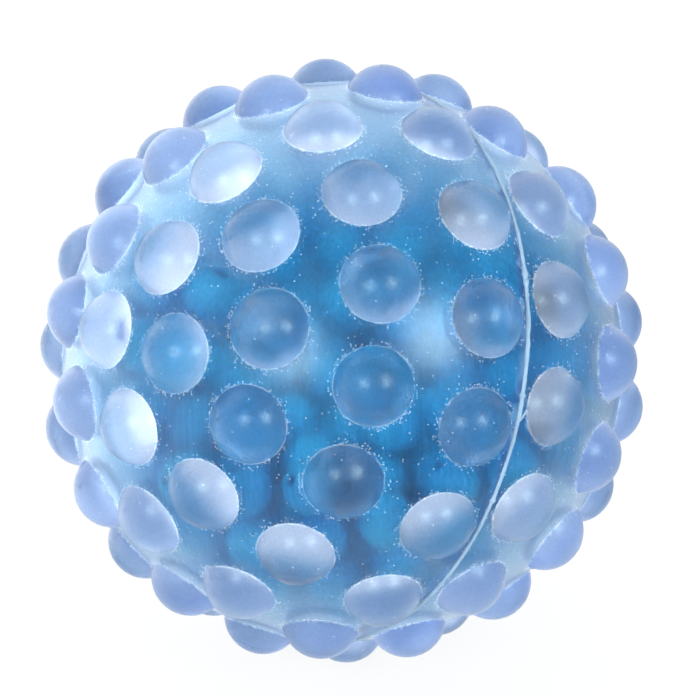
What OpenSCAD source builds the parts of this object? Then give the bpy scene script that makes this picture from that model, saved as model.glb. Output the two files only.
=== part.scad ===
// Knobbed sensory ball: two alike soft vinyl half shells, welded rim to rim round a loose fill of beads.
// Millimetres, +Z up, origin at the ball's centre. The ball lies at rest on three of its knobs.

/* [Shell] */
// Outside diameter of the ball between its knobs
body_d = 64; // [58:0.5:80]
// Thickness of the vinyl wall
wall_t = 2; // [1.5:0.1:3]

/* [Knobs] */
// Diameter of a knob at its foot
knob_d = 8.5; // [6:0.1:9]
// Height of a knob above the flat of its foot
knob_h = 3.1; // [1.5:0.1:4]
// Bare strip between the seam and the first ring of knobs
seam_land = 0.85; // [0.5:0.05:2]

/* [Seam] */
// Diameter of the round weld that fills the groove along the seam
weld_d = 0.5; // [0.4:0.05:1]
// How far the weld stands out of the ball
weld_proud = 0.2; // [0.1:0.05:0.3]

/* [Beads] */
// Diameter of a bead
bead_d = 6; // [5:0.1:7]
// Diameter of the string hole through a bead
bead_hole_d = 1.3; // [0.8:0.1:2]
// Width of the bevel round each mouth of a string hole
bead_bevel = 0.2; // [0.1:0.05:0.3]
// Clearance between neighbouring beads, and between the beads and the wall
bead_gap = 0.2; // [0.1:0.05:0.4]
// Height of the heap's topmost bead centres over the middle of the ball, as a share of the hollow's radius
heap_share = 0.34; // [-0.2:0.02:0.5]
// Slope of the heap's top, which rises from the front of the ball to the rear
heap_slope = 28; // [0:1:35]

/* [Hidden] */
// Facets of the ball, of a knob, of a bead and of a round hole
body_fn = 144;
knob_fn = 48;
bead_fn = 36;
hole_fn = 24;
// How far a cutting shape runs past what it cuts
overrun = 1;

// Knobs in each ring of one half shell, from the seam to the pole
ring_counts = [17, 16, 12, 6, 1];
// Place of each ring on the arc from the first ring to the pole
ring_height_shares = [0, 0.265, 0.522, 0.756, 1];
// Start of each ring past the half shell's mark, in steps of its own pitch
ring_start_shares = [0, 0.5, 0, 0.25, 0];
// The mark's angle from the line about which one half shell is turned over to make the other
mark_angle = 50;

// Ring and number of the three knobs that the ball lies on, all on the rear half shell
rest_knobs = [[0, 4], [0, 5], [1, 4]];
// Turn of the resting ball about the upright
facing = -0.5;

// Nearest neighbours on a golden spiral, in radii, times the root of the count; less on a spiral of a few
spiral_spacing = 3.08;
short_spiral_spacing = 2.68;
short_spiral_count = 6;
// Turns of the bead spirals: about their own axis, of the axis from upright, and of that lean about upright
spiral_turn = 99;
spiral_tilt = 60;
spiral_heading = 324;
// Turn of each spiral past the one outside it
layer_turn = 36;
// A few of the outermost beads climb the wall beside the heap: their heading, height and spread as angles
climb_heading = 229;
climb_height = 24;
climb_spread = 17;

// Groups that the beads of each layer are kept in
outer_groups = 12;
middle_groups = 8;
inner_groups = 6;

body_r = body_d / 2;
hollow_r = body_r - wall_t;
knob_r = knob_d / 2;
knob_foot_r = sqrt(body_r * body_r - knob_r * knob_r);
knob_cap_r = (knob_r * knob_r + knob_h * knob_h) / (2 * knob_h);
knob_cap_centre = knob_foot_r + knob_h - knob_cap_r;
knob_first_angle = asin((knob_r + seam_land) / body_r);
weld_path_r = body_r + weld_proud - weld_d / 2;
half_cut = body_d + 2 * knob_h + 2 * overrun;

bead_r = bead_d / 2;
bead_hole_r = bead_hole_d / 2;
bead_pitch = bead_d + bead_gap;
outer_bead_path_r = hollow_r - bead_gap - bead_r;
heap_level = heap_share * hollow_r;
last_layer = floor(outer_bead_path_r / bead_pitch);
golden_turn = 180 * (3 - sqrt(5));

function unit(v) = v / norm(v);
function turn_y(v, a) = [v.x * cos(a) + v.z * sin(a), v.y, v.z * cos(a) - v.x * sin(a)];
function turn_z(v, a) = [v.x * cos(a) - v.y * sin(a), v.x * sin(a) + v.y * cos(a), v.z];
function turned_over(v) = [v.x, -v.y, -v.z];
function on_globe(lat, lon) = [cos(lat) * cos(lon), cos(lat) * sin(lon), sin(lat)];

// Way from the ball's centre to knob k of ring j on a half shell whose pole is up
function knob_way(j, k) = on_globe(
    knob_first_angle + ring_height_shares[j] * (90 - knob_first_angle),
    mark_angle + (k + ring_start_shares[j]) * 360 / ring_counts[j]
);

// Straight down for the resting ball, square to the plane through the tips of its three rest knobs
rest_ways = [for (n = rest_knobs) turned_over(knob_way(n[0], n[1]))];
rest_plane = unit(cross(rest_ways[1] - rest_ways[0], rest_ways[2] - rest_ways[0]));
rest_down = rest_plane * sign(rest_plane * rest_ways[0]);
rest_axis = cross(rest_down, [0, 0, -1]);
rest_angle = acos(-rest_down.z);

// Point i of a golden spiral of n points on a unit sphere
function spiral_way(i, n) =
    let (h = (2 * i + 1) / n - 1, w = sqrt(1 - h * h))
    [w * cos(i * golden_turn), w * sin(i * golden_turn), h];

// Beads that a whole layer at radius r has room for
function spiral_count(r) =
    let (n = floor(pow(spiral_spacing * r / bead_pitch, 2)))
    n >= short_spiral_count ? n : max(1, floor(pow(short_spiral_spacing * r / bead_pitch, 2)));

function layer_r(layer) = outer_bead_path_r - layer * bead_pitch;

// Centre of bead i on a whole layer of n
function bead_centre(layer, i, n) = layer_r(layer) * turn_z(
    turn_y(turn_z(spiral_way(i, n), spiral_turn + layer * layer_turn), spiral_tilt),
    spiral_heading
);

climb_way = on_globe(climb_height, climb_heading);
function climbs(c, layer) = layer == 0 && acos(unit(c) * climb_way) < climb_spread;

function in_heap(c) = c.z < heap_level + c.y * tan(heap_slope);

// Centres of the beads of one layer that lie in the heap
function layer_beads(layer) =
    let (n = spiral_count(layer_r(layer)))
    [for (i = [0 : n - 1]) let (c = bead_centre(layer, i, n)) if (in_heap(c) || climbs(c, layer)) c];

outer_bead_centres = layer_beads(0);
middle_bead_centres = layer_beads(1);
inner_bead_centres = [for (layer = [2 : last_layer]) each layer_beads(layer)];

function group_names(stem, groups) = [for (g = [1 : groups]) str(stem, g)];

// Puts the seam and the poles where they lie on the resting ball
module at_rest() {
    rotate([0, 0, facing])
        rotate(a = rest_angle, v = rest_axis)
            children();
}

// The weld as a round ring on the seam
module weld_ring() {
    rotate_extrude($fn = body_fn)
        translate([weld_path_r, 0])
            circle(d = weld_d, $fn = hole_fn);
}

// A ball whose first meridian runs through the mark, where it meets the knobs squarely
module ball(r) {
    rotate([0, 0, mark_angle])
        sphere(r = r, $fn = body_fn);
}

// One moulding with its pole up: a hollow half ball with solid round knobs, grooved at its rim for the weld
module half_shell() {
    difference() {
        union() {
            ball(body_r);
            for (j = [0 : len(ring_counts) - 1], k = [0 : ring_counts[j] - 1])
                translate(knob_cap_centre * knob_way(j, k))
                    sphere(r = knob_cap_r, $fn = knob_fn);
        }
        ball(hollow_r);
        translate([0, 0, -half_cut / 2])
            cube(half_cut, center = true);
        weld_ring();
    }
}

module front_half_shell() {
    color("lightsteelblue")
        at_rest()
            half_shell();
}

module rear_half_shell() {
    color("lightsteelblue")
        at_rest()
            rotate([180, 0, 0])
                half_shell();
}

module seam_weld() {
    color("aliceblue")
        at_rest()
            weld_ring();
}

// A round bead with its string hole along Z, bevelled at both mouths
module bead() {
    mouth_z = sqrt(bead_r * bead_r - pow(bead_hole_r + bead_bevel, 2));
    difference() {
        sphere(r = bead_r, $fn = bead_fn);
        cylinder(r = bead_hole_r, h = bead_d + 2 * overrun, center = true, $fn = hole_fn);
        for (end = [0, 1])
            mirror([0, 0, end])
                translate([0, 0, mouth_z - bead_bevel])
                    cylinder(
                        r1 = bead_hole_r,
                        r2 = bead_hole_r + bead_bevel + overrun,
                        h = bead_bevel + overrun,
                        $fn = hole_fn
                    );
    }
}

// Group g of the beads with these centres, each with its hole turned another way
module bead_group(centres, g, groups) {
    first = floor((g - 1) * len(centres) / groups);
    last = floor(g * len(centres) / groups) - 1;
    color("darkturquoise")
        for (i = [first : last])
            translate(centres[i])
                rotate([0, i * golden_turn, i * layer_turn])
                    bead();
}

front_half_shell();
rear_half_shell();
seam_weld();
for (g = [1 : outer_groups])
    bead_group(outer_bead_centres, g, outer_groups);
for (g = [1 : middle_groups])
    bead_group(middle_bead_centres, g, middle_groups);
for (g = [1 : inner_groups])
    bead_group(inner_bead_centres, g, inner_groups);
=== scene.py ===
"""Knobbed sensory ball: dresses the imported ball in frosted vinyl, a ragged seam and turquoise beads.

Everything is in metres in the ball's own frame: origin at its centre, +Z up, the viewer on the -Y side.
"""

import math

import bpy
import numpy as np
from bpy.props import FloatProperty, FloatVectorProperty, PointerProperty
from mathutils import Matrix, Vector


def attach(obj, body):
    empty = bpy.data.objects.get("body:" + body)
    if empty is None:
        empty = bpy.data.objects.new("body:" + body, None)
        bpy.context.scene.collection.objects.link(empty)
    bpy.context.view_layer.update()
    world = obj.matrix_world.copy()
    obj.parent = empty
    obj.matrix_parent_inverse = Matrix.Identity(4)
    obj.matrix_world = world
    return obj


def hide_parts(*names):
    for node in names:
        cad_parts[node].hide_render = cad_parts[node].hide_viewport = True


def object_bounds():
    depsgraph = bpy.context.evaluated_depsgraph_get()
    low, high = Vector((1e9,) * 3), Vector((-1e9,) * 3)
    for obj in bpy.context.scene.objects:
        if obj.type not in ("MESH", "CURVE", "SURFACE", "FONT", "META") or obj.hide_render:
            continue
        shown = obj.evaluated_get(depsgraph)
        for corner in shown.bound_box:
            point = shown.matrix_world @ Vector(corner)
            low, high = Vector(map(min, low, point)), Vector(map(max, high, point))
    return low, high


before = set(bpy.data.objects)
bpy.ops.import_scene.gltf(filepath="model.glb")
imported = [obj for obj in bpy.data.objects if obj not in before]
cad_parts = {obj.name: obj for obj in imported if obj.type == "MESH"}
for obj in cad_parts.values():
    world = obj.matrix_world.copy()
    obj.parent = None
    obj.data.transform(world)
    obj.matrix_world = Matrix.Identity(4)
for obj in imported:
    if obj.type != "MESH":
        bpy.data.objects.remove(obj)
CAD_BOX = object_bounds()

bl_info = {
    "name": "Knobbed sensory ball",
    "version": (1, 0, 0),
    "blender": (4, 5, 0),
    "location": "3D View > Sidebar > Sensory Ball",
    "description": "Frosted vinyl, seam, beads and stage for the packed sensory ball",
    "category": "Object",
}

MM = 0.001
GRAVITY_DOWN = Vector((0, 0, -1))

# Shell sizes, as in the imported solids
BODY_R = 32 * MM
KNOB_R = 4.25 * MM
SEAM_LAND = 0.85 * MM
WELD_R = 0.25 * MM
WELD_PATH_R = 31.95 * MM
# Radius within the wall, between its inner face and its outside
OUTSIDE_R = 31 * MM

# Rings of knobs on one half shell, from the seam to the pole
RING_COUNTS = (17, 16, 12, 6, 1)
RING_HEIGHT_SHARES = (0, 0.265, 0.522, 0.756, 1)
RING_START_SHARES = (0, 0.5, 0, 0.25, 0)
MARK_ANGLE = math.radians(50)
FIRST_RING = math.asin((KNOB_R + SEAM_LAND) / BODY_R)
FOOT_ANGLE = math.asin(KNOB_R / BODY_R)

# How the ball lies: on three knobs of the rear half shell, turned a little about the upright
REST_KNOBS = ((0, 4), (0, 5), (1, 4))
FACING = math.radians(-0.5)

# The photograph's frame: its side, the ball's centre and the focal length in pixels, and the camera's place
IMAGE_PX = 696
BALL_PX = (342.4, 361.5)
FOCAL_PX = 2703.8
SENSOR_MM = 36
CAMERA_RANGE = 310.4 * MM
CAMERA_RISE = math.radians(17.37)
CAMERA_ROLL = math.radians(2.11)
CAMERA_CLIP = 10 * MM

# Vinyl: waves per metre of its grain, drawn-out lines, clouds and breaks in the painted highlight line at a
# knob's foot
GRAIN_WAVES = 3600
LINE_WAVES = (2800, 2800, 160)
CLOUD_WAVES = 90
BREAK_WAVES = 1400
# Vinyl: how lines and grain make up its pattern, and how grain, clouds and the inner face change its frost
LINE_SHARE = 0.8
GRAIN_EDGE = (0.4, 1.2)
GRAIN_SHADE = 0.82
GRAIN_FROST = 0.02
CLOUD_FROST = 0.05
INNER_FROST = 0.1
# Vinyl: how far it bends light, and the roughness of the shine on its knobs
VINYL_IOR = 1.45
COAT_ROUGHNESS = 0.3
# Vinyl: where effects start and end, in millimetres out from a knob's foot or away from the seam
KNOB_EDGE = (-0.2, 0.0)
HALO_START, HALO_END = (-0.15, 0.05), (0.1, 1.0)
FINE_GLINT_START, FINE_GLINT_END = (-0.12, 0.0), (0.1, 0.8)
FOOT_HIGHLIGHT = (0.02, 0.14)
SEAM_BAND = (0.3, 1.2)
# Specks, pale and glowing as painted glints: cells per metre, size in cells, share of cells on bare wall, and
# share added where they crowd
FINE_GLINTS = (4400, 0.42, 0.02, 0.65)
COARSE_GLINTS = (1500, 0.17, 0.03, 0.5)
# Specks: share of a speck that is full, of the bare wall's specks on a knob, and of the crowd by the seam
SPECK_CORE = 0.4
KNOB_SPECKS = 0.2
SEAM_CROWD = 0.5
# Ramps as low, high, value at low and value at high: the foot's broken painted highlight line, and sparkle of
# the painted glow and of the shine
FOOT_HIGHLIGHT_BREAKS = (0.35, 0.62, 0.02, 0.25)
SPARKLE = (0.35, 0.65, 0.3, 1.7)
# Painted glow along the drawn-out lines: where it starts and is full, and its strength against a knob's
# painted glow
LINE_GLOW_EDGE = (0.5, 0.7)
LINE_GLOW_SHARE = 0.4

# Weld finish: waves per metre of streaks and bumps, bump depth, ramp of roughness, shade, and how clear it is
WELD_STREAKS = 900
WELD_BUMPS = 4000
WELD_BUMP_DEPTH = 0.02 * MM
WELD_ROUGHNESS = (0.3, 0.7, 0.35, 0.6)
WELD_SHADE = 0.72
WELD_CLEARNESS = 0.3
WELD_IOR = 1.5

# Bead finish: waves per metre of change from bead to bead, swirls and bumps, and their shares and ramps
BEAD_CHANGES = 110
BEAD_CHANGE_EDGE = (0.4, 0.62)
BEAD_CHANGE_SHARE = 0.75
BEAD_SWIRLS = 700
BEAD_SWIRL_SHARE = 0.3
BEAD_ROUGHNESS = (0.3, 0.7, 0.22, 0.36)
BEAD_BUMPS = 2500
BEAD_BUMP_DEPTH = 0.004 * MM

# Ragged seam: points round it, and its ripples, each as waves per turn, start and size
SEAM_STEPS = 1800
SEAM_SIDES = 16
CREST_WAVES = ((7, 0.3, 0.30), (19, 1.1, 0.24), (43, 2.0, 0.20), (97, 4.4, 0.16), (211, 0.9, 0.10))
WANDER_WAVES = ((5, 2.2, 0.34), (23, 0.4, 0.24), (61, 3.1, 0.24), (131, 5.2, 0.18))
# Knots of the seam: turn and spread in degrees, and added share of thickness
SEAM_KNOTS = (
    (-25.3, 0.9, 0.7),
    (-26.9, 0.4, 0.5),
    (-48.6, 0.4, 0.8),
    (-69.8, 0.4, 0.6),
    (8.0, 0.5, 0.4),
    (140, 0.6, 0.6),
)
# Branch of the seam: its turn in degrees and its height over the seam at both ends, and its thickness
BRANCH_STEPS = 32
BRANCH_TURN = (-54.2, -50.6)
BRANCH_HEIGHT = (0.0, -1.2 * MM)
BRANCH_R = 0.17 * MM
BRANCH_TIP = 0.001

# Floor: half its side, the share of its shading that shows, its white, and where near goes over into far
FLOOR_HALF = 4.0
FLOOR_SHADE = 0.12
FLOOR_WHITE = 1.03
FLOOR_FADE = (50 * MM, 90 * MM)
FLOOR_SIDES = (-0.9, 0.9)
FLOOR_NEARER = (-0.9, 0.0)
FLOOR_FRONT = 0.35

# Room: the way to each broad light, the cosines from it where the light starts and is full, and light bounces
ROOM_WAYS = {
    "left_light": (-0.95, 0.25, 0.15),
    "back_light": (0.0, 1.0, 0.1),
    "high_light": (0.0, 0.7, 0.7),
    "right_light": (0.7, 0.0, 0.7),
    "front_light": (0.0, -1.0, 0.1),
}
ROOM_EDGE = (0.3, 0.9)
LIGHT_BOUNCES = 16

# Lamps: colour, size and distance, and each one's turn to the right from the viewer and rise in degrees
LAMP_COLOR = (0.7, 0.93, 1.0)
LAMP_SIZE = 240 * MM
LAMP_RANGE = 600 * MM
LEFT_LAMP_WAY = (-22, 21)
RIGHT_LAMP_WAY = (40, 22)

HALF_SHELLS = ("front_half_shell", "rear_half_shell")
BEAD_NODES = [name for name in sorted(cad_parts) if "_beads_" in name]


def ring_height(ring):
    """Angle of a ring of knobs above the seam: its share of the arc from the first ring to the pole."""
    return FIRST_RING + RING_HEIGHT_SHARES[ring] * (math.pi / 2 - FIRST_RING)


def knob_way(ring, number):
    """Unit vector to a knob of a half shell whose pole is up, from its ring's height and its place."""
    height = ring_height(ring)
    turn = MARK_ANGLE + (number + RING_START_SHARES[ring]) * 2 * math.pi / RING_COUNTS[ring]
    return Vector((math.cos(height) * math.cos(turn), math.cos(height) * math.sin(turn), math.sin(height)))


def lying_turn():
    """Matrix from the moulding's axes to the lying ball: turns the plane through the rest knobs level."""
    ways = [Vector((w.x, -w.y, -w.z)) for w in (knob_way(*knob) for knob in REST_KNOBS)]
    down = (ways[1] - ways[0]).cross(ways[2] - ways[0]).normalized()
    if down.dot(ways[0]) < 0:
        down.negate()
    return Matrix.Rotation(FACING, 3, "Z") @ down.rotation_difference(GRAVITY_DOWN).to_matrix()


LYING = lying_turn()


class BallVinylSettings(bpy.types.PropertyGroup):
    """Colours and finish of the vinyl shell."""

    wall_color: FloatVectorProperty(
        name="Wall Color",
        description="Colour that light takes on through the wall's surface",
        subtype="COLOR",
        size=3,
        min=0,
        max=1,
        default=(0.51, 0.77, 0.93),
    )
    knob_color: FloatVectorProperty(
        name="Knob Color",
        description="Colour that light takes on through the knobs' surface",
        subtype="COLOR",
        size=3,
        min=0,
        max=1,
        default=(0.71, 0.80, 0.96),
    )
    knob_shine: FloatProperty(
        name="Knob Shine",
        description="Strength of the small highlights on the knobs",
        subtype="FACTOR",
        default=0.32,
        min=0,
        max=1,
    )
    # Pale colour of the specks and of the line at each knob's foot, which also glow in it: painted glints and
    # painted highlight
    pale_glint_color: FloatVectorProperty(
        name="Pale Glint Color",
        description="Colour of scuffed specks and of the line round each knob's foot",
        subtype="COLOR",
        size=3,
        min=0,
        max=1,
        default=(1.0, 1.0, 1.0),
    )
    # Painted glow: emission that stands in for milky light in the knobs and along the drawn-out lines
    painted_glow_color: FloatVectorProperty(
        name="Painted Glow Color",
        description="Milky bloom on the knobs, before the glow",
        subtype="COLOR",
        size=3,
        min=0,
        max=1,
        default=(0.018, 0.045, 0.08),
    )
    depth_color: FloatVectorProperty(
        name="Depth Color",
        description="Colour that light takes on in thick vinyl",
        subtype="COLOR",
        size=3,
        min=0,
        max=1,
        default=(0.0, 0.36, 0.92),
    )
    depth_density: FloatProperty(
        name="Depth Density",
        description="How quickly light takes on the depth colour, per metre",
        default=22,
        min=0,
        max=1000,
    )
    clearness: FloatProperty(
        name="Clearness",
        description="Share of light that passes through the surface",
        subtype="FACTOR",
        default=1.0,
        min=0,
        max=1,
    )
    frost: FloatProperty(
        name="Frost",
        description="Roughness of the frosted wall",
        subtype="FACTOR",
        default=0.285,
        min=0,
        max=1,
    )
    knob_frost: FloatProperty(
        name="Knob Frost",
        description="How much rougher the knobs are than the wall",
        subtype="FACTOR",
        default=0.08,
        min=0,
        max=1,
    )
    # Strength of all the painted glow: the glowing specks, the foot's highlight line and the knobs' milky
    # glow
    painted_glow_strength: FloatProperty(
        name="Painted Glow Strength",
        description="How much the scuffed specks stand out",
        subtype="FACTOR",
        default=0.7,
        min=0,
        max=1,
    )


class BallSeamSettings(bpy.types.PropertyGroup):
    """Colour and raggedness of the welded seam."""

    color: FloatVectorProperty(
        name="Color",
        description="Colour of the whitened weld",
        subtype="COLOR",
        size=3,
        min=0,
        max=1,
        default=(0.56, 0.72, 0.92),
    )
    raggedness: FloatProperty(
        name="Raggedness",
        description="How far the weld's crest wanders and rises",
        subtype="DISTANCE",
        unit="LENGTH",
        default=0.16 * MM,
        min=0,
        max=0.4 * MM,
    )


class BallBeadSettings(bpy.types.PropertyGroup):
    """Colours of the beads."""

    color: FloatVectorProperty(
        name="Color",
        description="Main colour of the beads",
        subtype="COLOR",
        size=3,
        min=0,
        max=1,
        default=(0.0, 0.80, 1.0),
    )
    deep_color: FloatVectorProperty(
        name="Deep Color",
        description="Colour of the darker beads",
        subtype="COLOR",
        size=3,
        min=0,
        max=1,
        default=(0.0, 0.58, 0.90),
    )


class BallStageSettings(bpy.types.PropertyGroup):
    """Floor and light."""

    floor_color: FloatVectorProperty(
        name="Floor Color",
        description="Colour of the floor and the backdrop",
        subtype="COLOR",
        size=3,
        min=0,
        max=1,
        default=(1.0, 1.0, 1.0),
    )
    near_floor: FloatProperty(
        name="Near Floor",
        description="Light from the floor beside the ball",
        default=1.12,
        min=0,
        max=3,
    )
    left_floor: FloatProperty(
        name="Left Floor",
        description="Light from the floor further off on the left",
        default=2.1,
        min=0,
        max=3,
    )
    right_floor: FloatProperty(
        name="Right Floor",
        description="Light from the floor further off on the right",
        default=0.6,
        min=0,
        max=3,
    )
    left_light: FloatProperty(
        name="Left Light",
        description="Light from the backdrop on the left",
        default=1.2,
        min=0,
        max=3,
    )
    back_light: FloatProperty(
        name="Back Light",
        description="Light from the backdrop behind the ball",
        default=0.35,
        min=0,
        max=3,
    )
    high_light: FloatProperty(
        name="High Light",
        description="Light from high up behind the ball",
        default=0.95,
        min=0,
        max=3,
    )
    right_light: FloatProperty(
        name="Right Light",
        description="Light from high up on the right",
        default=0.3,
        min=0,
        max=3,
    )
    front_light: FloatProperty(
        name="Front Light",
        description="Light from the viewer's side",
        default=0.38,
        min=0,
        max=3,
    )
    left_lamp: FloatProperty(
        name="Left Lamp",
        description="Power of the soft lamp at the front left",
        subtype="POWER",
        unit="POWER",
        default=1.6,
        min=0,
        max=50,
    )
    right_lamp: FloatProperty(
        name="Right Lamp",
        description="Power of the soft lamp at the front right",
        subtype="POWER",
        unit="POWER",
        default=1.8,
        min=0,
        max=50,
    )


def feed(tree, socket, value):
    """Links a socket, or sets its plain value."""
    if isinstance(value, bpy.types.NodeSocket):
        tree.links.new(value, socket)
    else:
        socket.default_value = value


def calc(tree, operation, *values):
    """Math node with these values or sockets; gives its output."""
    node = tree.nodes.new("ShaderNodeMath")
    node.operation = operation
    for socket, value in zip(node.inputs, values):
        feed(tree, socket, value)
    return node.outputs[0]


def dot(tree, vector, axis):
    """Vector Math node: the part of a vector along a fixed axis."""
    node = tree.nodes.new("ShaderNodeVectorMath")
    node.operation = "DOT_PRODUCT"
    feed(tree, node.inputs[0], vector)
    node.inputs[1].default_value = axis
    return node.outputs["Value"]


def vector_math(tree, operation, vector, output):
    """Vector Math node on one vector; gives the named output."""
    node = tree.nodes.new("ShaderNodeVectorMath")
    node.operation = operation
    feed(tree, node.inputs[0], vector)
    return node.outputs[output]


def ramp(tree, value, low, high, start=0.0, end=1.0):
    """Map Range node with smooth ends: start at low, end at high."""
    node = tree.nodes.new("ShaderNodeMapRange")
    node.interpolation_type = "SMOOTHSTEP"
    for socket, number in zip(node.inputs, (value, low, high, start, end)):
        feed(tree, socket, number)
    return node.outputs["Result"]


def blend_color(tree, share, first, second):
    """Mix node for colours: first at share 0, second at share 1."""
    node = tree.nodes.new("ShaderNodeMix")
    node.data_type = "RGBA"
    feed(tree, node.inputs["Factor"], share)
    feed(tree, node.inputs["A"], first)
    feed(tree, node.inputs["B"], second)
    return node.outputs["Result"]


def blend_value(tree, share, first, second):
    """Mix node for numbers: first at share 0, second at share 1."""
    node = tree.nodes.new("ShaderNodeMix")
    feed(tree, node.inputs["Factor"], share)
    feed(tree, node.inputs["A"], first)
    feed(tree, node.inputs["B"], second)
    return node.outputs["Result"]


def band(tree, value, start, end):
    """Mask of a band: comes in over the first range of a value and fades out over the second."""
    return calc(tree, "MULTIPLY", ramp(tree, value, *end, 1.0, 0.0), ramp(tree, value, *start))


def stretched(tree, vector, scale):
    """Mapping node that scales a vector, so that a pattern is drawn out where the scale is small."""
    node = tree.nodes.new("ShaderNodeMapping")
    feed(tree, node.inputs["Vector"], vector)
    node.inputs["Scale"].default_value = scale
    return node.outputs["Vector"]


def noise(tree, vector, scale, detail=2.0):
    """Noise texture value with this many waves per metre."""
    node = tree.nodes.new("ShaderNodeTexNoise")
    feed(tree, node.inputs["Vector"], vector)
    node.inputs["Scale"].default_value = scale
    node.inputs["Detail"].default_value = detail
    return node.outputs["Fac"]


def new_group(name, inputs, outputs):
    """Shader node group with named sockets; gives the group and its inner input and output nodes."""
    group = bpy.data.node_groups.new(name, "ShaderNodeTree")
    for label, kind in inputs:
        group.interface.new_socket(label, in_out="INPUT", socket_type=kind)
    for label, kind in outputs:
        group.interface.new_socket(label, in_out="OUTPUT", socket_type=kind)
    return group, group.nodes.new("NodeGroupInput"), group.nodes.new("NodeGroupOutput")


def place_group(tree, group, **values):
    """Group node in a material, with its inputs fed by name."""
    node = tree.nodes.new("ShaderNodeGroup")
    node.node_tree = group
    for label, value in values.items():
        feed(tree, node.inputs[label], value)
    return node


def knob_map_group():
    """Group: millimetres from the nearest knob's foot and from the seam, and a mask of the outside.

    The rear half is turned over onto the front half. In each ring the turn about the pole is wrapped to the
    ring's pitch, so one cosine gives how near the ring's nearest knob is; the largest of the five wins.
    """
    group, source, result = new_group(
        "knob_map",
        [("Vector", "NodeSocketVector")],
        [("Foot", "NodeSocketFloat"), ("Seam", "NodeSocketFloat"), ("Outside", "NodeSocketFloat")],
    )
    vector = source.outputs["Vector"]
    length = vector_math(group, "LENGTH", vector, "Value")
    x, y, z = (dot(group, vector, axis) for axis in LYING.transposed())
    side = calc(group, "MULTIPLY_ADD", calc(group, "GREATER_THAN", z, 0.0), 2.0, -1.0)
    turn = calc(group, "ARCTAN2", calc(group, "MULTIPLY", y, side), x)
    rise = calc(group, "DIVIDE", calc(group, "ABSOLUTE", z), length)
    level = calc(group, "SQRT", calc(group, "SUBTRACT", 1.0, calc(group, "MULTIPLY", rise, rise)))
    nearest = None
    for ring, count in enumerate(RING_COUNTS):
        pitch = 2 * math.pi / count
        start = MARK_ANGLE + RING_START_SHARES[ring] * pitch
        wrapped = calc(group, "WRAP", calc(group, "SUBTRACT", turn, start), pitch / 2, -pitch / 2)
        across = calc(group, "MULTIPLY", level, math.cos(ring_height(ring)))
        up = calc(group, "MULTIPLY", rise, math.sin(ring_height(ring)))
        near = calc(group, "MULTIPLY_ADD", calc(group, "COSINE", wrapped), across, up)
        nearest = near if nearest is None else calc(group, "MAXIMUM", nearest, near)
    apart = calc(group, "SUBTRACT", calc(group, "ARCCOSINE", nearest), FOOT_ANGLE)
    feed(group, result.inputs["Foot"], calc(group, "MULTIPLY", apart, BODY_R / MM))
    feed(group, result.inputs["Seam"], calc(group, "MULTIPLY", calc(group, "ABSOLUTE", z), 1 / MM))
    feed(group, result.inputs["Outside"], calc(group, "GREATER_THAN", length, OUTSIDE_R))
    return group


def specks(tree, vector, kind, bare, crowd):
    """Mask of round specks: Voronoi cells whose random value is under a share, out to a size in cells.

    The share is the kind's own on bare wall, and more where the specks crowd.
    """
    per_metre, size, bare_share, crowd_share = kind
    share = calc(tree, "MULTIPLY_ADD", bare, bare_share, calc(tree, "MULTIPLY", crowd, crowd_share))
    cells = tree.nodes.new("ShaderNodeTexVoronoi")
    feed(tree, cells.inputs["Vector"], vector)
    cells.inputs["Scale"].default_value = per_metre
    chance = tree.nodes.new("ShaderNodeSeparateColor")
    tree.links.new(cells.outputs["Color"], chance.inputs[0])
    near = ramp(tree, cells.outputs["Distance"], size * SPECK_CORE, size, 1.0, 0.0)
    return calc(tree, "MULTIPLY", near, calc(tree, "LESS_THAN", chance.outputs[0], share))


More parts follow.
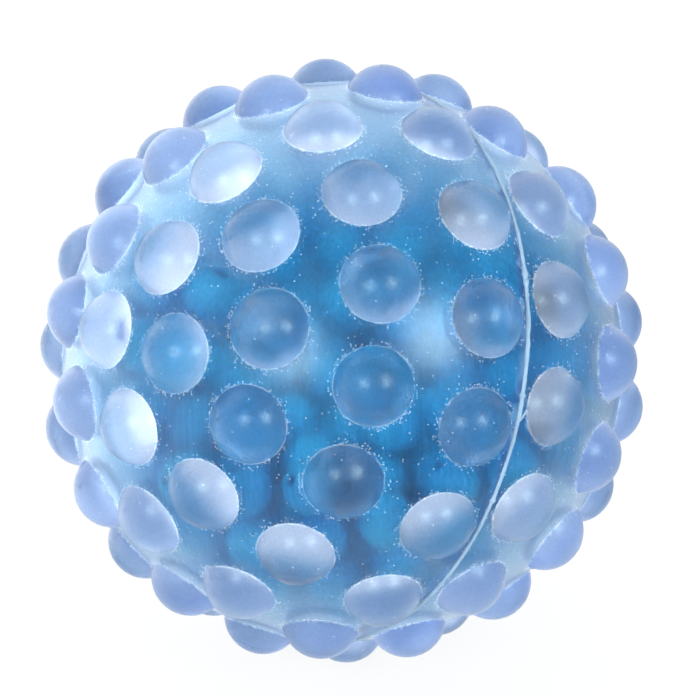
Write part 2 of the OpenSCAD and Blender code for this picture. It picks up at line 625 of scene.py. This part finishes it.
def frost_group(knob_map):
    """Group: grain and roughness of moulded soft vinyl, and masks of its glowing specks, painted glow, knobs
    and shine.

    Fine grain all over, drawn-out polish lines on the wall between the knobs, pale specks that crowd just
    outside the knobs' feet and by the seam and glow as painted glints, a thin broken painted highlight line
    on each foot, and a painted milky glow and a sparkling shine on the rougher knobs; the painted glow also
    follows the polish lines. The inner face is smoother and has no specks, painted glow or shine.
    """
    outputs = ("Grain", "Roughness", "Pale", "Painted Glow", "Knob", "Shine")
    group, source, result = new_group(
        "vinyl_frost",
        [("Vector", "NodeSocketVector"), ("Frost", "NodeSocketFloat"), ("Knob Frost", "NodeSocketFloat")],
        [(label, "NodeSocketFloat") for label in outputs],
    )
    vector = source.outputs["Vector"]
    place = place_group(group, knob_map, Vector=vector)
    foot = place.outputs["Foot"]
    outside = place.outputs["Outside"]
    on_knob = ramp(group, foot, *KNOB_EDGE, 1.0, 0.0)
    grain = noise(group, vector, GRAIN_WAVES, detail=1.0)
    lines = noise(group, stretched(group, vector, LINE_WAVES), 1.0, detail=0.0)
    cloud = noise(group, vector, CLOUD_WAVES, detail=0.0)
    lined = calc(group, "MULTIPLY", calc(group, "SUBTRACT", 1.0, on_knob), lines)
    grained = calc(group, "MULTIPLY_ADD", lined, LINE_SHARE, grain)
    feed(group, result.inputs["Grain"], ramp(group, grained, *GRAIN_EDGE))

    clouded = calc(group, "MULTIPLY_ADD", cloud, CLOUD_FROST, -CLOUD_FROST / 2)
    spread = calc(group, "MULTIPLY_ADD", grain, GRAIN_FROST, clouded)
    step = calc(group, "MULTIPLY", on_knob, source.outputs["Knob Frost"])
    rough = calc(group, "ADD", calc(group, "ADD", source.outputs["Frost"], spread), step)
    feed(group, result.inputs["Roughness"], blend_value(group, outside, INNER_FROST, rough))

    near_seam = ramp(group, place.outputs["Seam"], *SEAM_BAND, 1.0, 0.0)
    halo = band(group, foot, HALO_START, HALO_END)
    crowd = calc(group, "MAXIMUM", halo, calc(group, "MULTIPLY", near_seam, SEAM_CROWD))
    bare = blend_value(group, on_knob, 1.0, KNOB_SPECKS)
    # Pale specks that also glow: painted glints
    fine_glints = specks(group, vector, FINE_GLINTS, bare, band(group, foot, FINE_GLINT_START, FINE_GLINT_END))
    coarse_glints = specks(group, vector, COARSE_GLINTS, bare, crowd)
    # Thin broken pale line on each knob's foot that also glows: painted highlight
    edge = ramp(group, calc(group, "ABSOLUTE", foot), *FOOT_HIGHLIGHT, 1.0, 0.0)
    breaks = ramp(group, noise(group, vector, BREAK_WAVES, detail=0.0), *FOOT_HIGHLIGHT_BREAKS)
    painted_foot_highlight = calc(group, "MULTIPLY", edge, breaks)
    pale = calc(group, "MAXIMUM", calc(group, "MAXIMUM", fine_glints, coarse_glints), painted_foot_highlight)
    feed(group, result.inputs["Pale"], calc(group, "MULTIPLY", pale, outside))

    sparkle = ramp(group, grain, *SPARKLE)
    # Painted glow: milky emission on the knobs and along the drawn-out lines, sparkling with the grain
    line_glow = calc(group, "MULTIPLY", ramp(group, lines, *LINE_GLOW_EDGE), LINE_GLOW_SHARE)
    painted_glow = calc(group, "MULTIPLY", calc(group, "MAXIMUM", on_knob, line_glow), sparkle)
    shine = calc(group, "MULTIPLY", on_knob, sparkle)
    feed(group, result.inputs["Painted Glow"], calc(group, "MULTIPLY", painted_glow, outside))
    feed(group, result.inputs["Knob"], on_knob)
    feed(group, result.inputs["Shine"], calc(group, "MULTIPLY", shine, outside))
    return group


def new_material(name):
    """Empty material; gives it with its tree and output node."""
    material = bpy.data.materials.new(name)
    material.use_nodes = True
    material.node_tree.nodes.clear()
    material.cycles.emission_sampling = "NONE"
    output = material.node_tree.nodes.new("ShaderNodeOutputMaterial")
    return material, material.node_tree, output


def new_plastic(name):
    """Material with one Principled shader; gives it with its tree, output node and shader."""
    material, tree, output = new_material(name)
    shader = tree.nodes.new("ShaderNodeBsdfPrincipled")
    tree.links.new(shader.outputs["BSDF"], output.inputs["Surface"])
    return material, tree, output, shader


def opaque(color, share=1.0):
    """Colour with full alpha, darkened to a share."""
    return (*(share * part for part in color), 1.0)


def object_coords(tree):
    """Object coordinates, which are the ball's frame on every piece."""
    return tree.nodes.new("ShaderNodeTexCoord").outputs["Object"]


def add_bump(tree, shader, height, distance):
    """Bump node of this depth on a shader's normal."""
    bump = tree.nodes.new("ShaderNodeBump")
    bump.inputs["Strength"].default_value = 1.0
    bump.inputs["Distance"].default_value = distance
    tree.links.new(height, bump.inputs["Height"])
    tree.links.new(bump.outputs["Normal"], shader.inputs["Normal"])


def add_depth_tint(tree, output, color, density):
    """Absorption inside a clear piece, so that thick places take on its colour."""
    absorption = tree.nodes.new("ShaderNodeVolumeAbsorption")
    absorption.inputs["Color"].default_value = opaque(color)
    absorption.inputs["Density"].default_value = density
    tree.links.new(absorption.outputs["Volume"], output.inputs["Volume"])


def vinyl_material(frost):
    """Frosted soft vinyl: rough, see-through, darker in grain, painted milky glow on its knobs, glowing pale
    specks, tinted by its depth.
    """
    settings = bpy.context.scene.ball_vinyl
    material, tree, output, shader = new_plastic("frosted_vinyl")
    values = {"Vector": object_coords(tree), "Frost": settings.frost, "Knob Frost": settings.knob_frost}
    finish = place_group(tree, frost, **values)
    knob = finish.outputs["Knob"]
    pale = finish.outputs["Pale"]
    colors = (settings.wall_color, settings.knob_color)
    light = blend_color(tree, knob, *(opaque(color) for color in colors))
    deep = blend_color(tree, knob, *(opaque(color, GRAIN_SHADE) for color in colors))
    body = blend_color(tree, finish.outputs["Grain"], deep, light)
    feed(tree, shader.inputs["Base Color"], blend_color(tree, pale, body, opaque(settings.pale_glint_color)))
    feed(tree, shader.inputs["Roughness"], finish.outputs["Roughness"])
    shader.inputs["IOR"].default_value = VINYL_IOR
    shader.inputs["Transmission Weight"].default_value = settings.clearness
    shine = calc(tree, "MULTIPLY", finish.outputs["Shine"], settings.knob_shine)
    feed(tree, shader.inputs["Coat Weight"], shine)
    shader.inputs["Coat Roughness"].default_value = COAT_ROUGHNESS
    # Painted glow: the milky glow is emitted, and the pale specks and foot line glow over it
    painted_milk_glow = blend_color(tree, finish.outputs["Painted Glow"], (0, 0, 0, 1), opaque(settings.painted_glow_color))
    feed(tree, shader.inputs["Emission Color"], blend_color(tree, pale, painted_milk_glow, opaque(settings.pale_glint_color)))
    shader.inputs["Emission Strength"].default_value = settings.painted_glow_strength
    add_depth_tint(tree, output, settings.depth_color, settings.depth_density)
    return material


def weld_material():
    """Whitened weld: cloudy, rough and only a little see-through."""
    settings = bpy.context.scene.ball_seam
    material, tree, output, shader = new_plastic("whitened_weld")
    vector = object_coords(tree)
    streak = noise(tree, vector, WELD_STREAKS, detail=3.0)
    body = blend_color(tree, streak, opaque(settings.color, WELD_SHADE), opaque(settings.color))
    feed(tree, shader.inputs["Base Color"], body)
    feed(tree, shader.inputs["Roughness"], ramp(tree, streak, *WELD_ROUGHNESS))
    shader.inputs["Transmission Weight"].default_value = WELD_CLEARNESS
    shader.inputs["IOR"].default_value = WELD_IOR
    add_bump(tree, shader, noise(tree, vector, WELD_BUMPS), WELD_BUMP_DEPTH)
    return material


def bead_material():
    """Smooth turquoise plastic, a little darker from bead to bead and cloudy within each."""
    settings = bpy.context.scene.ball_beads
    material, tree, output, shader = new_plastic("turquoise_bead")
    vector = object_coords(tree)
    change = ramp(tree, noise(tree, vector, BEAD_CHANGES, detail=1.0), *BEAD_CHANGE_EDGE)
    swirl = noise(tree, vector, BEAD_SWIRLS, detail=3.0)
    changed = calc(tree, "MULTIPLY", change, BEAD_CHANGE_SHARE)
    share = calc(tree, "MULTIPLY_ADD", swirl, BEAD_SWIRL_SHARE, changed)
    body = blend_color(tree, share, opaque(settings.color), opaque(settings.deep_color))
    feed(tree, shader.inputs["Base Color"], body)
    feed(tree, shader.inputs["Roughness"], ramp(tree, swirl, *BEAD_ROUGHNESS))
    add_bump(tree, shader, noise(tree, vector, BEAD_BUMPS), BEAD_BUMP_DEPTH)
    return material


def dress(node_name, material):
    """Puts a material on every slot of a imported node."""
    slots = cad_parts[node_name].material_slots
    if not slots:
        raise RuntimeError(f"{node_name} has no material slot")
    for slot in slots:
        slot.material = material


def new_piece(name, points, closed_rows, closed_columns):
    """Mesh object from a grid of points, shaded smooth, its quads joined round where the grid closes."""
    rows, columns = points.shape[:2]
    numbers = np.arange(rows * columns).reshape(rows, columns)
    if closed_rows:
        numbers = np.vstack([numbers, numbers[:1]])
    if closed_columns:
        numbers = np.hstack([numbers, numbers[:, :1]])
    quads = np.stack([numbers[:-1, :-1], numbers[1:, :-1], numbers[1:, 1:], numbers[:-1, 1:]], axis=-1)
    mesh = bpy.data.meshes.new(name)
    mesh.from_pydata(points.reshape(-1, 3), [], quads.reshape(-1, 4))
    mesh.polygons.foreach_set("use_smooth", np.ones(len(mesh.polygons), dtype=bool))
    mesh.update()
    piece = bpy.data.objects.new(name, mesh)
    bpy.context.scene.collection.objects.link(piece)
    return piece


def ripple(turn, waves):
    """Uneven ripple round a ring: a sum of sines, each a row of waves per turn, start and size."""
    count, start, size = np.array(waves).T
    return np.sum(size[:, None] * np.sin(count[:, None] * turn + start[:, None]), axis=0)


def round_seam(turn, away, above):
    """Points at a turn round the seam, a distance from the line through the poles and a height over it."""
    points = np.stack(np.broadcast_arrays(away * np.cos(turn), away * np.sin(turn), above), axis=-1)
    return points @ np.array(LYING).T


def seam_surface(raggedness):
    """Weld carried round the seam: a round profile whose outer side rises and wanders in two uneven ripples.

    On the profile the outer side's share is the squared cosine from straight out, zero past the ball's skin.
    At each knot a bell curve of the turn makes the profile thicker.
    """
    turn = np.linspace(-np.pi, np.pi, SEAM_STEPS, endpoint=False)[:, None]
    side = np.linspace(0, 2 * np.pi, SEAM_SIDES, endpoint=False)
    outer = np.clip(np.cos(side), 0, 1) ** 2
    lift = raggedness * ripple(turn[:, 0], CREST_WAVES)[:, None] * outer
    shift = raggedness * ripple(turn[:, 0], WANDER_WAVES)[:, None] * outer
    place, spread, size = np.array(SEAM_KNOTS).T
    thick = 1 + np.sum(size * np.exp(-(((np.degrees(turn) - place) / spread) ** 2)), axis=1)[:, None]
    away = WELD_PATH_R + WELD_R * np.cos(side) * thick + lift
    above = WELD_R * np.sin(side) * thick + shift
    return round_seam(turn, away, above)


def branch_surface():
    """Thread of weld from the seam to a knob's foot: a tube on the skin, drawn to a point at both ends.

    Along it the turn and the height go straight from start to end. The tube's radius is the root of a sine.
    """
    along = np.linspace(0, 1, BRANCH_STEPS)[:, None]
    side = np.linspace(0, 2 * np.pi, SEAM_SIDES, endpoint=False)
    turn = np.radians(BRANCH_TURN[0] + along * (BRANCH_TURN[1] - BRANCH_TURN[0]))
    height = BRANCH_HEIGHT[0] + along * (BRANCH_HEIGHT[1] - BRANCH_HEIGHT[0])
    radius = BRANCH_R * np.sqrt(np.sin(np.pi * np.clip(along, BRANCH_TIP, 1 - BRANCH_TIP)))
    skin = np.sqrt(BODY_R**2 - height**2)
    return round_seam(turn, skin + radius * np.cos(side), height + radius * np.sin(side))


class BALL_OT_dress_shells(bpy.types.Operator):
    """Puts the frosted vinyl on both half shells."""

    bl_idname = "ball.dress_shells"
    bl_label = "Dress Half Shells"

    def execute(self, context):
        vinyl = vinyl_material(frost_group(knob_map_group()))
        for name in HALF_SHELLS:
            dress(name, vinyl)
        return {"FINISHED"}


class BALL_OT_make_seam(bpy.types.Operator):
    """Makes the ragged weld along the seam in place of the plain one."""

    bl_idname = "ball.make_seam"
    bl_label = "Make Seam"

    def execute(self, context):
        weld = weld_material()
        seam = new_piece("ragged_seam", seam_surface(context.scene.ball_seam.raggedness), True, True)
        branch = new_piece("seam_branch", branch_surface(), False, True)
        for piece in (seam, branch):
            piece.data.materials.append(weld)
            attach(piece, "shell")
        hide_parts("seam_weld")
        return {"FINISHED"}


class BALL_OT_dress_beads(bpy.types.Operator):
    """Puts the turquoise plastic on all bead groups."""

    bl_idname = "ball.dress_beads"
    bl_label = "Dress Beads"

    def execute(self, context):
        plastic = bead_material()
        for name in BEAD_NODES:
            dress(name, plastic)
        return {"FINISHED"}


def plain_for_camera(tree, level, white):
    """Plain white for rays straight from the camera, and a level for all others."""
    camera = tree.nodes.new("ShaderNodeLightPath").outputs["Is Camera Ray"]
    return blend_value(tree, camera, level, white)


def any_view_ray(tree):
    """Light Path: 1 for rays from the camera and for those that gloss or glass sends on, else 0."""
    path = tree.nodes.new("ShaderNodeLightPath")
    seen = calc(tree, "MAXIMUM", path.outputs["Is Camera Ray"], path.outputs["Is Glossy Ray"])
    return calc(tree, "MAXIMUM", seen, path.outputs["Is Transmission Ray"])


def floor_material():
    """Plain white floor: seen rays get mostly its own white and a little shading, so a faint shadow stays.

    Gloss and glass see it as a bright pool round the ball, which goes over further off into a floor that is
    brightest on the left and dims towards the viewer.
    """
    settings = bpy.context.scene.ball_stage
    color = opaque(settings.floor_color)
    material, tree, output = new_material("white_floor")
    paper = tree.nodes.new("ShaderNodeBsdfDiffuse")
    paper.inputs["Color"].default_value = color
    white = tree.nodes.new("ShaderNodeEmission")
    white.inputs["Color"].default_value = color
    place = object_coords(tree)
    reach = vector_math(tree, "LENGTH", place, "Value")
    heading = vector_math(tree, "NORMALIZE", place, "Vector")
    across = dot(tree, heading, (1, 0, 0))
    along = dot(tree, heading, (0, 1, 0))
    sideways = ramp(tree, across, *FLOOR_SIDES, settings.left_floor, settings.right_floor)
    far = calc(tree, "MULTIPLY", sideways, ramp(tree, along, *FLOOR_NEARER, FLOOR_FRONT, 1.0))
    level = blend_value(tree, ramp(tree, reach, *FLOOR_FADE), settings.near_floor, far)
    feed(tree, white.inputs["Strength"], plain_for_camera(tree, level, FLOOR_WHITE))
    mix = tree.nodes.new("ShaderNodeMixShader")
    feed(tree, mix.inputs[0], calc(tree, "MULTIPLY", any_view_ray(tree), 1 - FLOOR_SHADE))
    tree.links.new(paper.outputs[0], mix.inputs[1])
    tree.links.new(white.outputs[0], mix.inputs[2])
    tree.links.new(mix.outputs[0], output.inputs["Surface"])
    return material


def make_floor():
    """Flat square under the lowest knobs."""
    across = np.array((-FLOOR_HALF, FLOOR_HALF))
    x, y = np.meshgrid(across, across, indexing="ij")
    points = np.stack([x, y, np.full_like(x, CAD_BOX[0].z)], axis=-1)
    floor = new_piece("floor", points, False, False)
    floor.data.materials.append(floor_material())


def make_room():
    """World: plain white for camera rays, and for the rest five broad soft lights that fade out sideways."""
    settings = bpy.context.scene.ball_stage
    world = bpy.data.worlds.new("white_room")
    world.use_nodes = True
    tree = world.node_tree
    tree.nodes.clear()
    way = tree.nodes.new("ShaderNodeTexCoord").outputs["Generated"]
    level = 0.0
    for name, middle in ROOM_WAYS.items():
        share = ramp(tree, dot(tree, way, Vector(middle).normalized()), *ROOM_EDGE)
        level = calc(tree, "MULTIPLY_ADD", share, getattr(settings, name), level)
    backdrop = tree.nodes.new("ShaderNodeBackground")
    backdrop.inputs["Color"].default_value = opaque(settings.floor_color)
    feed(tree, backdrop.inputs["Strength"], plain_for_camera(tree, level, 1.0))
    output = tree.nodes.new("ShaderNodeOutputWorld")
    tree.links.new(backdrop.outputs[0], output.inputs["Surface"])
    bpy.context.scene.world = world


def make_lamp(name, way, power):
    """Round soft lamp aimed at the ball's centre, at a turn from the viewer to the right and a rise."""
    turn, rise = (math.radians(angle) for angle in way)
    back = Vector((math.sin(turn) * math.cos(rise), -math.cos(turn) * math.cos(rise), math.sin(rise)))
    light = bpy.data.lights.new(name, "AREA")
    light.shape = "DISK"
    light.size = LAMP_SIZE
    light.energy = power
    light.color = LAMP_COLOR
    lamp = bpy.data.objects.new(name, light)
    lamp.location = back * LAMP_RANGE
    lamp.rotation_euler = (-back).to_track_quat("-Z", "Y").to_euler()
    bpy.context.scene.collection.objects.link(lamp)


def make_camera():
    """Camera at the photograph's range, height and roll, aimed past the ball's centre as it was."""
    back = Vector((0, -math.cos(CAMERA_RISE), math.sin(CAMERA_RISE)))
    roll = Matrix.Rotation(-CAMERA_ROLL, 3, -back)
    right = roll.inverted() @ Vector((1, 0, 0))
    up = back.cross(right)
    middle = IMAGE_PX / 2
    aim = -back + right * (middle - BALL_PX[0]) / FOCAL_PX + up * (BALL_PX[1] - middle) / FOCAL_PX
    aim.normalize()
    right = aim.cross(up).normalized()
    up = right.cross(aim)
    data = bpy.data.cameras.new("photo_camera")
    data.sensor_width = SENSOR_MM
    data.lens = FOCAL_PX / IMAGE_PX * SENSOR_MM
    data.clip_start = CAMERA_CLIP
    camera = bpy.data.objects.new("photo_camera", data)
    turn = Matrix((right, up, -aim)).transposed().to_4x4()
    camera.matrix_world = Matrix.Translation(back * CAMERA_RANGE) @ turn
    bpy.context.scene.collection.objects.link(camera)
    bpy.context.scene.camera = camera


class BALL_OT_set_stage(bpy.types.Operator):
    """Makes the floor, the room light, two soft lamps and the camera."""

    bl_idname = "ball.set_stage"
    bl_label = "Set Stage"

    def execute(self, context):
        settings = context.scene.ball_stage
        context.scene.view_settings.view_transform = "Standard"
        for limit in ("max_bounces", "glossy_bounces", "transmission_bounces"):
            setattr(context.scene.cycles, limit, LIGHT_BOUNCES)
        make_floor()
        make_room()
        make_lamp("left_lamp", LEFT_LAMP_WAY, settings.left_lamp)
        make_lamp("right_lamp", RIGHT_LAMP_WAY, settings.right_lamp)
        make_camera()
        return {"FINISHED"}


STEPS = (BALL_OT_dress_shells, BALL_OT_make_seam, BALL_OT_dress_beads, BALL_OT_set_stage)


class BALL_PT_panel(bpy.types.Panel):
    """Lists the steps that dress the ball."""

    bl_idname = "BALL_PT_panel"
    bl_label = "Sensory Ball"
    bl_space_type = "VIEW_3D"
    bl_region_type = "UI"
    bl_category = "Sensory Ball"

    def draw(self, context):
        for step in STEPS:
            self.layout.operator(step.bl_idname)


SETTINGS = {
    "ball_vinyl": BallVinylSettings,
    "ball_seam": BallSeamSettings,
    "ball_beads": BallBeadSettings,
    "ball_stage": BallStageSettings,
}


def register():
    """Registers the settings, the steps and the panel."""
    for name, group in SETTINGS.items():
        bpy.utils.register_class(group)
        setattr(bpy.types.Scene, name, PointerProperty(type=group))
    for cls in (*STEPS, BALL_PT_panel):
        bpy.utils.register_class(cls)


def unregister():
    """Takes back what register put in place."""
    for cls in (*STEPS, BALL_PT_panel):
        bpy.utils.unregister_class(cls)
    for name, group in SETTINGS.items():
        delattr(bpy.types.Scene, name)
        bpy.utils.unregister_class(group)


def main():
    register()
    bpy.ops.ball.dress_shells()
    bpy.ops.ball.make_seam()
    bpy.ops.ball.dress_beads()
    bpy.ops.ball.set_stage()


if __name__ == "__main__":
    main()
